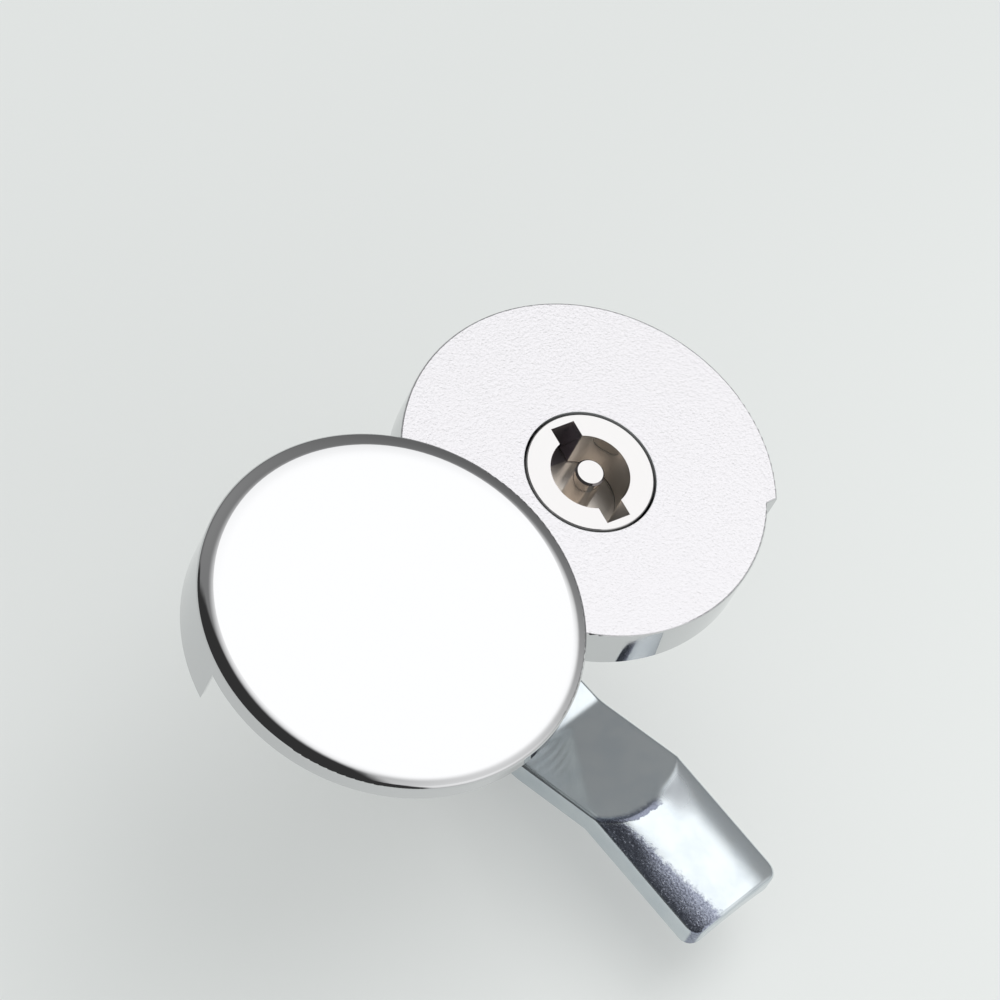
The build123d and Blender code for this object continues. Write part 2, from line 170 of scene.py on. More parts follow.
def buildCastGrain(look):
    # orange peel of a blasted and plated casting: two noises, the fine one weaker
    group, given, made = newGroup(
        "castGrain",
        [("Vector", "NodeSocketVector", None), ("Size", "NodeSocketFloat", 0.4 * mm)],
        [("Height", "NodeSocketFloat"), ("Tone", "NodeSocketFloat")],
    )
    density = compute(group, "DIVIDE", 1.0, given["Size"])
    coarse = noise(group, given["Vector"], density, look["detail"], look["roughness"])
    denser = compute(group, "MULTIPLY", density, look["fineRatio"])
    fine = noise(group, given["Vector"], denser, look["fineDetail"])
    feed(group, made["Height"], compute(group, "MULTIPLY_ADD", fine, look["fineShare"], coarse))
    feed(group, made["Tone"], ramp(group, coarse, look["toneLow"], look["toneHigh"]))
    return group


hazeLook = {"detail": 4.0, "roughness": 0.62, "cloudLow": 0.38, "cloudHigh": 0.68}


def buildHandlingHaze(look):
    # faint clouds where a polished surface was wiped: the roughness drifts between two values
    group, given, made = newGroup(
        "handlingHaze",
        [
            ("Vector", "NodeSocketVector", None),
            ("Size", "NodeSocketFloat", 6 * mm),
            ("Clean", "NodeSocketFloat", 0.03),
            ("Hazy", "NodeSocketFloat", 0.07),
        ],
        [("Roughness", "NodeSocketFloat"), ("Cloud", "NodeSocketFloat")],
    )
    density = compute(group, "DIVIDE", 1.0, given["Size"])
    cloud = noise(group, given["Vector"], density, look["detail"], look["roughness"])
    cloud = ramp(group, cloud, look["cloudLow"], look["cloudHigh"])
    spread = compute(group, "SUBTRACT", given["Hazy"], given["Clean"])
    feed(group, made["Roughness"], compute(group, "MULTIPLY_ADD", cloud, spread, given["Clean"]))
    feed(group, made["Cloud"], cloud)
    return group


castGrain = buildCastGrain(castLook)
handlingHaze = buildHandlingHaze(hazeLook)
print("shared effects built")


# Finishes

def newFinish(name):
    material = bpy.data.materials.new(name)
    material.use_nodes = True
    tree = material.node_tree
    shader = tree.nodes["Principled BSDF"]
    place = addNode(tree, "ShaderNodeTexCoord").outputs["Object"]
    return material, tree, shader, place


def addBump(tree, shader, height, distance):
    bump = addNode(tree, "ShaderNodeBump")
    bump.inputs["Distance"].default_value = distance
    feed(tree, bump.inputs["Height"], height)
    feed(tree, shader.inputs["Normal"], bump.outputs["Normal"])


def splitPlace(tree, place):
    node = addNode(tree, "ShaderNodeSeparateXYZ")
    feed(tree, node.inputs[0], place)
    return node.outputs


def axisDistance(tree, axes):
    # distance from the Z axis: the root of x squared plus y squared
    squareX = compute(tree, "MULTIPLY", axes["X"], axes["X"])
    squareY = compute(tree, "MULTIPLY", axes["Y"], axes["Y"])
    return compute(tree, "SQRT", compute(tree, "ADD", squareX, squareY))


satinChrome = {
    "colour": (0.605, 0.597, 0.615),
    "wallColour": (0.60, 0.607, 0.612),
    "faceRoughness": 0.17,
    "toneRoughness": 0.03,     # what the grain's high spots add to it
    "faceStart": 0.06 * mm,    # the face's finish fades in between these depths below it
    "faceFull": 0.03 * mm,
    "behindStart": -0.1 * mm,  # and the barrel's between these levels behind the rosette
    "behindFull": -0.3 * mm,
    "grainSize": 0.42 * mm,
    "grainDepth": 0.042 * mm,
    "wallClean": 0.03,
    "wallHazy": 0.08,
    "barrelRoughness": 0.16,
    "bore": 8.9 * mm,          # dull inside this radius
    "boreFade": 0.05 * mm,
    "boreMetal": 0.28,
}


def makeSatinChrome(look):
    # satin face, polished wall, and a duller barrel behind the panel
    material, tree, shader, place = newFinish("satinChrome")
    axes = splitPlace(tree, place)
    level = axes["Z"]
    face = ramp(tree, level, faceLevel - look["faceStart"], faceLevel - look["faceFull"])
    behind = ramp(tree, level, look["behindStart"], look["behindFull"])
    grain = useGroup(tree, castGrain, Vector=place, Size=look["grainSize"])
    haze = useGroup(tree, handlingHaze, Vector=place, Clean=look["wallClean"], Hazy=look["wallHazy"])
    dull = compute(tree, "MULTIPLY_ADD", behind, look["barrelRoughness"], haze["Roughness"])
    satin = compute(tree, "MULTIPLY_ADD", grain["Tone"], look["toneRoughness"], look["faceRoughness"])
    feed(tree, shader.inputs["Roughness"], blendValues(tree, face, dull, satin))
    colour = blendColours(tree, face, look["wallColour"], look["colour"])
    feed(tree, shader.inputs["Base Color"], colour)
    inBore = ramp(tree, axisDistance(tree, axes), look["bore"], look["bore"] - look["boreFade"])
    feed(tree, shader.inputs["Metallic"], blendValues(tree, inBore, 1.0, look["boreMetal"]))
    height = compute(tree, "MULTIPLY", grain["Height"], compute(tree, "MAXIMUM", face, behind))
    addBump(tree, shader, height, look["grainDepth"])
    return material


polishedChrome = {
    "colour": (0.605, 0.608, 0.615),
    "clean": 0.015,
    "hazy": 0.035,
    "hazeSize": 9 * mm,
    "crown": 1.1,              # buffing left the face this convex, in radians of lean per metre
}


def makePolishedChrome(look):
    # a mirror finish on a face that buffing left faintly convex about the cover's centre:
    # the bump's height is a sag in metres, minus crown / 2 times the radius squared
    material, tree, shader, place = newFinish("polishedChrome")
    haze = useGroup(
        tree, handlingHaze, Vector=place, Size=look["hazeSize"], Clean=look["clean"], Hazy=look["hazy"]
    )
    feed(tree, shader.inputs["Base Color"], look["colour"])
    feed(tree, shader.inputs["Roughness"], haze["Roughness"])
    shader.inputs["Metallic"].default_value = 1.0
    low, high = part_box("cover")
    fromCentre = addNode(tree, "ShaderNodeMapping")
    fromCentre.inputs["Location"].default_value = (-(low.x + high.x) / 2, -(low.y + high.y) / 2, 0.0)
    feed(tree, fromCentre.inputs["Vector"], place)
    radius = axisDistance(tree, splitPlace(tree, fromCentre.outputs[0]))
    sag = compute(tree, "MULTIPLY", compute(tree, "MULTIPLY", radius, radius), -look["crown"] / 2)
    addBump(tree, shader, sag, 1.0)
    return material


# The key socket's floor; the finish of the key metal is placed by it too
socketFloor = {
    "round": 5.3 * mm,
    "reach": 7.3 * mm,         # to the slots' ends
    "slot": 1.75 * mm,         # half a slot's width
    "pin": 1.95 * mm,
    "depth": 6.7 * mm,         # below the face
    "height": 2.3 * mm,
    "overlap": 0.02 * mm,      # into the walls and the pin
    "endSteps": 4,             # points over half a slot's end, along its side, and over a quarter's arc
    "sideSteps": 5,
    "steps": 14,
    "cornerGap": 1e-4,         # radians, so that no two points meet at a slot's mouth
    "sharpAngle": 20,
}

keyMetal = {
    "colour": (0.575, 0.567, 0.565),
    "frontStart": 0.08 * mm,   # the front's finish fades in between these depths below it
    "frontFull": 0.04 * mm,
    "insideColour": (0.76, 0.70, 0.64),
    "insideMetal": 0.84,       # the rest is a dull film, which takes the light that bright metal misses
    # painted shade: both slots are coloured darker than the rest of the socket
    "slotShadeColour": (0.34, 0.31, 0.33),
    "otherSlotShadeColour": (0.50, 0.49, 0.49),
    "slotStart": 5.3 * mm,
    "slotFade": 0.3 * mm,
    "sideStart": 8.3 * mm,     # the head's own side, in the gap round it
    "sideFade": 0.1 * mm,
    # painted shade in the gap round the head
    "gapShadeColour": (0.29, 0.28, 0.28),
    "sideMetal": 0.25,
    "cornerStart": 0.01 * mm,
    "cornerFull": 0.03 * mm,
    "cornerHeight": 0.32 * mm,    # painted shade in the corner between the socket's floor and its walls
    "cornerShadeColour": (0.16, 0.14, 0.13),
    "pinEdge": 1.70 * mm,      # a painted shade line round the pin's end
    "pinEdgeFade": 0.02 * mm,
    "pinFar": 0.5 * mm,        # it ends this far outside that edge
    "pinFull": 0.4 * mm,
    "pinDepth": 0.35 * mm,     # and this far down
    "pinDepthFull": 0.28 * mm,
    "pinEdgeShadeColour": (0.20, 0.18, 0.18),
    "floorDepth": 6.4 * mm,    # below this the socket is left as cast
    "floorFade": 0.2 * mm,
    "floorRoughness": 0.30,
    "faceRoughness": 0.10,
    "clean": 0.03,
    "hazy": 0.06,
    "hazeSize": 2 * mm,
    "grainSize": 0.5 * mm,
    "grainDepth": 0.003 * mm,
}


def makeKeyMetal(look):
    # satin ring on the front, browner down in the socket; painted shade darkens the slots, a line along
    # the floor's corner, another round the pin's end, and the dull metal in the gap round the head
    material, tree, shader, place = newFinish("keyMetal")
    axes = splitPlace(tree, place)
    level, radius = axes["Z"], axisDistance(tree, axes)
    front = ramp(tree, level, faceLevel - look["frontStart"], faceLevel - look["frontFull"])
    slotStart, sideStart = look["slotStart"], look["sideStart"]
    # masks for the painted shade in the slots
    slot = ramp(tree, axes["X"], slotStart - look["slotFade"], slotStart)
    slot = compute(tree, "MULTIPLY", slot, ramp(tree, radius, sideStart, sideStart - look["sideFade"]))
    otherSlot = ramp(tree, axes["X"], look["slotFade"] - slotStart, -slotStart)
    # mask of the painted shade in the gap round the head
    side = ramp(tree, radius, sideStart - look["sideFade"], sideStart)
    ground = faceLevel - socketFloor["depth"]
    # painted shade along the corner between the floor and the walls and the pin
    corner = compute(
        tree, "MULTIPLY", ramp(tree, level, ground + look["cornerStart"], ground + look["cornerFull"]),
        ramp(tree, level, ground + look["cornerHeight"], ground + look["cornerHeight"] / 2),
    )
    # painted shade round the pin's end
    pinEdge = look["pinEdge"]
    pinEdgeShade = compute(
        tree, "MULTIPLY", ramp(tree, radius, pinEdge - look["pinEdgeFade"], pinEdge),
        ramp(tree, radius, pinEdge + look["pinFar"], pinEdge + look["pinFull"]),
    )
    pinTop = ramp(tree, level, faceLevel - look["pinDepth"], faceLevel - look["pinDepthFull"])
    pinEdgeShade = compute(tree, "MULTIPLY", pinEdgeShade, pinTop)
    haze = useGroup(
        tree, handlingHaze, Vector=place, Size=look["hazeSize"], Clean=look["clean"], Hazy=look["hazy"]
    )
    # painted shade darkens the inside colour here: slots, gap and corner
    inside = blendColours(tree, slot, look["insideColour"], look["slotShadeColour"])
    inside = blendColours(tree, otherSlot, inside, look["otherSlotShadeColour"])
    inside = blendColours(tree, side, inside, look["gapShadeColour"])
    inside = blendColours(tree, corner, inside, look["cornerShadeColour"])
    colour = blendColours(tree, pinEdgeShade, blendColours(tree, front, inside, look["colour"]), look["pinEdgeShadeColour"])
    feed(tree, shader.inputs["Base Color"], colour)
    deepLevel = faceLevel - look["floorDepth"]
    deep = ramp(tree, level, deepLevel, deepLevel - look["floorFade"])
    insideRoughness = blendValues(tree, deep, haze["Roughness"], look["floorRoughness"])
    feed(tree, shader.inputs["Roughness"], blendValues(tree, front, insideRoughness, look["faceRoughness"]))
    metal = blendValues(tree, side, look["insideMetal"], look["sideMetal"])
    feed(tree, shader.inputs["Metallic"], blendValues(tree, front, metal, 1.0))
    grain = useGroup(tree, castGrain, Vector=place, Size=look["grainSize"])
    addBump(tree, shader, compute(tree, "MULTIPLY", grain["Height"], front), look["grainDepth"])
    return material


zincSteel = {
    "colour": (0.63, 0.675, 0.70),
    "cloudColour": (0.58, 0.63, 0.665),
    "metal": 0.86,             # the rest is the plate's milky haze
    "clean": 0.11,
    "hazy": 0.18,
    "hazeSize": 5 * mm,
    "grainSize": 0.28 * mm,
    "grainDepth": 0.002 * mm,
}


def makeZincSteel(name, look):
    # bright zinc plate: clouds in colour and roughness, and a fine crystal speckle
    material, tree, shader, place = newFinish(name)
    haze = useGroup(
        tree, handlingHaze, Vector=place, Size=look["hazeSize"], Clean=look["clean"], Hazy=look["hazy"]
    )
    colour = blendColours(tree, haze["Cloud"], look["colour"], look["cloudColour"])
    feed(tree, shader.inputs["Base Color"], colour)
    feed(tree, shader.inputs["Roughness"], haze["Roughness"])
    shader.inputs["Metallic"].default_value = look["metal"]
    grain = useGroup(tree, castGrain, Vector=place, Size=look["grainSize"])
    addBump(tree, shader, grain["Height"], look["grainDepth"])
    return material


camZinc = {
    "azimuth": camAzimuth,
    # these colours are darker than the plain zinc: crystal speckle on painted shade
    "speckAndShadeColour": (0.30, 0.325, 0.40),
    "darkSpeckAndShade": (0.175, 0.19, 0.245),
    "lightSpeck": (0.51, 0.54, 0.63),
    "lightMetal": 0.6,
    "grainSize": 0.30 * mm,
    "crystalDetail": 2.0,
    "crystalRoughness": 0.7,
    "lightStart": 0.60,        # above this the crystals' noise gives light ones
    "lightFull": 0.70,
    "darkStart": 0.50,         # and below this dark ones
    "darkFull": 0.40,
    "wander": 1.2 * mm,        # how far the crystals' borders stray to either side
    "wanderSize": 0.9 * mm,
    "wanderDetail": 4.0,
    "wanderRoughness": 0.7,
    "speckDepth": 0.02 * mm,
    "speckRoughness": 0.12,
    "sideInner": -4.1 * mm,    # half way along the tip the coarse crystals and their painted shade fade in from here
    "sideOuter": -5.0 * mm,    # to here
    "sideMiddle": 39 * mm,
    "sideSlope": 0.115,        # and their band widens towards the end
    "sideStart": 0.5 * mm,     # it starts this far past the crease
    "sideFull": 1.0 * mm,
    "sideEdge": -8.0 * mm,     # no crystals on the side wall or on the end's face
    "sideEdgeFade": 0.1 * mm,
    "endEdge": 48.3 * mm,
    "endFade": 0.2 * mm,
    "creaseStart": 27.9 * mm,  # the crease, along the cam, at the sides and in the middle
    "creaseMiddle": 31.4 * mm,
    "creasePower": 3.0,        # the share of the half width is raised to it
    "creaseWidth": 1.0 * mm,   # the strip starts this far before the crease
    "creasePast": 0.8 * mm,    # and ends this far after it
    "creasePastFull": 0.6 * mm,
    "creaseWander": 0.4,       # share of the wander that its two borders have
    "creasePaintedShade": 0.75,       # how much of it is painted shade
    "creaseInner": 1.5 * mm,   # across the cam the strip fades in from here
    "creaseOuter": -0.5 * mm,  # to here
    "halfWidth": 8.2 * mm,
    "dullColour": (0.50, 0.53, 0.56),
    "dullRoughness": 0.42,     # on the far half the press left the plate dull beyond the crease
    "dullInner": 0.5 * mm,     # across the cam the patch fades in here
    "dullOuter": 3.0 * mm,
    "dullFarInner": 3.4 * mm,  # and out here
    "dullFarOuter": 8.2 * mm,
    "dullStart": -1.0 * mm,    # and these are distances past the crease
    "dullFull": 0.5 * mm,
    "dullEnd": 5.4 * mm,
}


def makeCamZinc(base, look):
    # the zinc finish, with coarse dark crystals along the tip's near side and the crease's near half, darker
    # there as painted shade, the crease's strip darker still, and a dull patch beyond the far half; the
    # crease lies at start plus (middle minus start) times 1 minus the power of the share of the half width
    material = makeZincSteel("camZinc", base)
    tree = material.node_tree
    shader = tree.nodes["Principled BSDF"]
    place = addNode(tree, "ShaderNodeTexCoord").outputs["Object"]
    along = facing(tree, place, look["azimuth"])
    across = facing(tree, place, look["azimuth"] + 90)
    onTop = ramp(
        tree, across, look["sideEdge"] - look["sideEdgeFade"], look["sideEdge"] + look["sideEdgeFade"]
    )
    onTop = compute(
        tree, "MULTIPLY", onTop, ramp(tree, along, look["endEdge"] + look["endFade"], look["endEdge"])
    )
    share = compute(tree, "ABSOLUTE", compute(tree, "DIVIDE", across, look["halfWidth"]))
    swell = compute(tree, "SUBTRACT", 1.0, compute(tree, "POWER", share, look["creasePower"]))
    bulge = look["creaseMiddle"] - look["creaseStart"]
    line = compute(tree, "MULTIPLY_ADD", swell, bulge, look["creaseStart"])
    past = compute(tree, "SUBTRACT", along, line)       # how far past the crease
    stray = noise(tree, place, 1 / look["wanderSize"], look["wanderDetail"], look["wanderRoughness"])
    wander = compute(tree, "MULTIPLY_ADD", stray, 2 * look["wander"], -look["wander"])
    ragged = compute(tree, "ADD", across, wander)
    widen = compute(tree, "MULTIPLY_ADD", along, -look["sideSlope"], look["sideSlope"] * look["sideMiddle"])
    side = ramp(tree, compute(tree, "ADD", ragged, widen), look["sideInner"], look["sideOuter"])
    side = compute(tree, "MULTIPLY", side, ramp(tree, past, look["sideStart"], look["sideFull"]))
    crease = ramp(tree, ragged, look["creaseInner"], look["creaseOuter"])
    raggedPast = compute(tree, "MULTIPLY_ADD", wander, look["creaseWander"], past)
    crease = compute(tree, "MULTIPLY", crease, ramp(tree, raggedPast, -look["creaseWidth"], 0.0))
    creaseEnd = ramp(tree, raggedPast, look["creasePast"], look["creasePastFull"])
    crease = compute(tree, "MULTIPLY", crease, creaseEnd)
    coarse = compute(tree, "MULTIPLY", compute(tree, "MAXIMUM", side, crease), onTop)
    crystal = noise(tree, place, 1 / look["grainSize"], look["crystalDetail"], look["crystalRoughness"])
    light = ramp(tree, crystal, look["lightStart"], look["lightFull"])
    dark = ramp(tree, crystal, look["darkStart"], look["darkFull"])
    # crystal speckle over painted shade
    specksAndShade = blendColours(tree, dark, look["speckAndShadeColour"], look["darkSpeckAndShade"])
    specksAndShade = blendColours(tree, light, specksAndShade, look["lightSpeck"])
    # painted shade: the crease's strip is coloured darker still
    paintedCreaseShade = compute(tree, "MULTIPLY", crease, look["creasePaintedShade"])
    specksAndShade = blendColours(tree, paintedCreaseShade, specksAndShade, look["darkSpeckAndShade"])
    plainColour = shader.inputs["Base Color"].links[0].from_socket
    dull = ramp(tree, across, look["dullInner"], look["dullOuter"])
    dull = compute(tree, "MULTIPLY", dull, ramp(tree, across, look["dullFarOuter"], look["dullFarInner"]))
    dull = compute(tree, "MULTIPLY", dull, ramp(tree, past, look["dullStart"], 0.0))
    dull = compute(tree, "MULTIPLY", dull, ramp(tree, past, look["dullEnd"], look["dullFull"]))
    plainColour = blendColours(tree, dull, plainColour, look["dullColour"])
    feed(tree, shader.inputs["Base Color"], blendColours(tree, coarse, plainColour, specksAndShade))
    shiny = blendValues(tree, compute(tree, "MULTIPLY", light, coarse), base["metal"], look["lightMetal"])
    feed(tree, shader.inputs["Metallic"], shiny)
    plainRoughness = shader.inputs["Roughness"].links[0].from_socket
    plainRoughness = blendValues(tree, dull, plainRoughness, look["dullRoughness"])
    feed(tree, shader.inputs["Roughness"], blendValues(tree, coarse, plainRoughness, look["speckRoughness"]))
    grain = useGroup(tree, castGrain, Vector=place, Size=look["grainSize"])
    depth = blendValues(tree, coarse, base["grainDepth"], look["speckDepth"])
    addBump(tree, shader, compute(tree, "MULTIPLY", grain["Height"], depth), 1.0)
    return material


springSteel = {
    "colour": (0.42, 0.43, 0.45),
    "cloudColour": (0.30, 0.30, 0.31),
    "metal": 1.0,
    "clean": 0.28,
    "hazy": 0.42,
    "hazeSize": 5 * mm,
    "grainSize": 0.3 * mm,
    "grainDepth": 0.004 * mm,
}

sealRubber = {
    "colour": (0.025, 0.026, 0.028),
    "dustColour": (0.07, 0.07, 0.072),
    "roughness": 0.62,
    "dustRoughness": 0.8,
    "dustSize": 2 * mm,
    "grainSize": 0.2 * mm,
    "grainDepth": 0.01 * mm,
}


def makeSealRubber(look):
    # moulded rubber: a matt grain with a little dust in it
    material, tree, shader, place = newFinish("sealRubber")
    haze = useGroup(
        tree, handlingHaze, Vector=place, Size=look["dustSize"], Clean=look["roughness"],
        Hazy=look["dustRoughness"],
    )
    grain = useGroup(tree, castGrain, Vector=place, Size=look["grainSize"])
    colour = blendColours(tree, haze["Cloud"], look["colour"], look["dustColour"])
    feed(tree, shader.inputs["Base Color"], colour)
    feed(tree, shader.inputs["Roughness"], haze["Roughness"])
    addBump(tree, shader, grain["Height"], look["grainDepth"])
    return material


bushPlastic = {
    "colour": (0.72, 0.70, 0.64),
    "shadeColour": (0.64, 0.61, 0.54),
    "roughness": 0.34,
    "shadeRoughness": 0.48,
    "shadeSize": 3 * mm,
    "milk": 0.15,              # share of the light that scatters below the surface
    "milkDepth": 1 * mm,
}


def makeBushPlastic(look):
    # natural acetal: milky, slightly uneven
    material, tree, shader, place = newFinish("bushPlastic")
    haze = useGroup(
        tree, handlingHaze, Vector=place, Size=look["shadeSize"], Clean=look["roughness"],
        Hazy=look["shadeRoughness"],
    )
    colour = blendColours(tree, haze["Cloud"], look["colour"], look["shadeColour"])
    feed(tree, shader.inputs["Base Color"], colour)
    feed(tree, shader.inputs["Roughness"], haze["Roughness"])
    shader.inputs["Subsurface Weight"].default_value = look["milk"]
    shader.inputs["Subsurface Scale"].default_value = look["milkDepth"]
    return material


finishes = {
    "satin_chrome": makeSatinChrome(satinChrome),
    "polished_chrome": makePolishedChrome(polishedChrome),
    "key_metal": makeKeyMetal(keyMetal),
    "zinc_steel": makeZincSteel("zincSteel", zincSteel),
    "cam": makeCamZinc(zincSteel, camZinc),
    "spring_steel": makeZincSteel("springSteel", springSteel),
    "seal_rubber": makeSealRubber(sealRubber),
    "bush_plastic": makeBushPlastic(bushPlastic),
}
for part in frame["record"]["subparts"]:
    skin = cadNodes[part["node"]].data.materials
    skin.clear()
    skin.append(finishes[part["material_slot"]])
print("finishes on", len(cadNodes), "CAD nodes")


# Mesh helper

mergeGap = 0.002 * mm          # points nearer than this become one


def gridPiece(name, points, sharpAngle=180, cutter=None):
    # points[i, j] on a closed loop in j and from first to last in i, where the ends meet;
    # a quad spans each cell, then points that coincide are merged and empty faces go;
    # the faces are made to agree, and all turned round if the shape then has a negative volume;
    # edges that turn by more than sharpAngle stay crisp, and cutter is taken away
    across, along = points.shape[:2]
    index = np.arange(across * along).reshape(across, along)
    near, far = index[:-1], index[1:]
    quads = np.stack([near, far, np.roll(far, -1, 1), np.roll(near, -1, 1)], axis=-1).reshape(-1, 4)
    mesh = bpy.data.meshes.new(name)
    mesh.from_pydata(points.reshape(-1, 3), [], quads)
    shape = bmesh.new()
    shape.from_mesh(mesh)
    bmesh.ops.remove_doubles(shape, verts=shape.verts, dist=mergeGap)
    bmesh.ops.recalc_face_normals(shape, faces=shape.faces)
    if shape.calc_volume(signed=True) < 0:
        bmesh.ops.reverse_faces(shape, faces=shape.faces)
    for face in shape.faces:
        face.smooth = True
    shape.to_mesh(mesh)
    shape.free()
    piece = bpy.data.objects.new(name, mesh)
    bpy.context.scene.collection.objects.link(piece)
    if cutter:
        hole = piece.modifiers.new("hole", "BOOLEAN")
        hole.object = cutter
        hole.operation = "DIFFERENCE"
        view = bpy.context.evaluated_depsgraph_get()
        piece.data = bpy.data.meshes.new_from_object(piece.evaluated_get(view))
        piece.modifiers.clear()
        bpy.data.objects.remove(cutter)
        bpy.data.meshes.remove(mesh)
    piece.data.set_sharp_from_angle(angle=radians(sharpAngle))
    return piece


# Thread on the barrel

barrelThread = {
    "root": 10.12 * mm,        # just proud of the barrel's own surface
    "crest": 11.0 * mm,
    "inside": 9.6 * mm,        # the sleeve's hidden inner wall, within the barrel's metal
    "flat": 10.02 * mm,        # half the distance between the two flats
    "pitch": 1.5 * mm,
    "startGap": 0.02 * mm,     # from the rosette's rear face
    "endGap": 0.05 * mm,       # from the barrel's free end
    "endChamfer": 0.8 * mm,
    "waveHeight": 0.75,        # over a half, the wave's clipped tops and bottoms are flat
    "stepsAcross": 12,         # samples over one pitch
    "stepsRound": 96,
}


def makeThread(look):
    # rows follow the helix: z = top + pitch * (1 - turn - step / stepsAcross), held between the ends,
    # and radius = root + depth * a cosine wave over one pitch, clipped flat at crest and root,
    # then cut by the flats at flat / |sin(angle)| and by the 45 degree chamfer at the free end;
    # the first and the last step lie on the hidden inner wall, level with the ends, and close them
    top, low = -look["startGap"], rearLevel + look["endGap"]
    across, around = look["stepsAcross"], look["stepsRound"]
    rows = int(np.ceil((top - low) / look["pitch"] + 1)) * across
    turn = np.linspace(0.0, 1.0, around + 1)[:, None]
    step = np.arange(-1, rows + 1)[None, :] / across
    z = np.clip(top + look["pitch"] * (1 - turn - step), low, top)
    phase = z / look["pitch"] + turn
    wave = np.clip(0.5 - look["waveHeight"] * np.cos(2 * pi * phase), 0.0, 1.0)
    radius = look["root"] + (look["crest"] - look["root"]) * wave
    angle = 2 * pi * turn + 0 * z
    radius = np.minimum(radius, look["flat"] / np.maximum(np.abs(np.sin(angle)), tiny))
    radius = np.minimum(radius, look["root"] + z - (rearLevel + look["endChamfer"]))
    radius[:, [0, -1]] = look["inside"]
    points = np.stack([radius * np.cos(angle), radius * np.sin(angle), z], axis=-1)
    return gridPiece("barrel_thread", points)


thread = makeThread(barrelThread)
thread.data.materials.append(finishes["satin_chrome"])
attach(thread, "housing")
print("thread cut:", len(thread.data.polygons), "faces")


# Cam, with the soft and the crisp half of its crease

camShape = {
    "azimuth": camAzimuth,
    "width": 16.4 * mm,
    "thickness": 3.0 * mm,
    "bend": 14.8 * mm,         # from the axis to the first bend
    "rampEnd": 27.9 * mm,
    "rise": 4.6 * mm,
    "reach": 48.6 * mm,
    "tipDrop": 1.3 * mm,
    "arch": 1.3 * mm,          # the tip's middle stands this much above its sides
    "fullArch": 0.15 * mm,     # more than that close to the crease
    "fullPower": 1.0,
    "fullEnd": 33.0 * mm,
    "fullFade": 39.0 * mm,
    "bendBlend": 0.36 * mm,
    "underBlend": 0.54 * mm,
    "crispBlend": 0.10 * mm,   # the crease on the near half
    "softBlend": 0.7 * mm,     # and on the far half
    "softFrom": -2.0 * mm,
    "softTo": 2.5 * mm,
    "softEnd": 2.0 * mm,       # from here it grows crisper again, to the far side
    "softKept": 0.0,
    "edgeRoll": 0.6 * mm,
    "rollSteps": [0.0, 0.01, 0.05, 0.13, 0.25, 0.4, 0.6, 0.8, 1.0],    # closer together at the edge
    "corner": 2.0 * mm,
    "hole": 8.1 * mm,          # square, for the key barrel's drive
    "rowPitch": 0.25 * mm,
    "columns": 48,
    "roundSteps": 17,          # rows over the round end, and over a corner of the tip
    "cornerSteps": 9,
    "sharpAngle": 35,
}


def eased(value, low, high):
    # 0 below low, 1 above high, and a cubic with level ends between them
    share = np.clip((value - low) / (high - low), 0.0, 1.0)
    return share * share * (3 - 2 * share)


def lower(first, second, blend):
    # the lower of two heights, rounded off where they are within blend of each other
    near = np.maximum(blend - np.abs(first - second), 0.0)
    return np.minimum(first, second) - near * near / (4 * blend)


def camBent(look, along, depth, blend):
    # flat, then a ramp from the bend on; depth below the upper face, the bend rounded
    slope = look["rise"] / (look["rampEnd"] - look["bend"])
    flat = -depth + 0 * along
    climb = (along - look["bend"]) * slope - depth * np.hypot(1.0, slope)
    return -lower(-flat, -climb, blend)


def camArched(look, along, across, depth):
    # the arch falls to the tip; across it is a power curve that is fuller near the crease,
    # and depth below it the curve is tighter, as bent sheet is
    fall = look["tipDrop"] / (look["reach"] - look["rampEnd"])
    full = 1 - eased(along, look["fullEnd"], look["fullFade"])
    full = full * (1 - eased(across, look["softFrom"], look["softTo"]))
    share = np.abs(across) / (look["width"] / 2)
    height = look["arch"] + full * look["fullArch"]
    curve = height * (1 - share ** (2 + full * look["fullPower"]))
    tighter = depth * look["arch"] / look["width"] * share ** 2
    return look["rise"] - fall * (along - look["rampEnd"]) + curve - depth - tighter


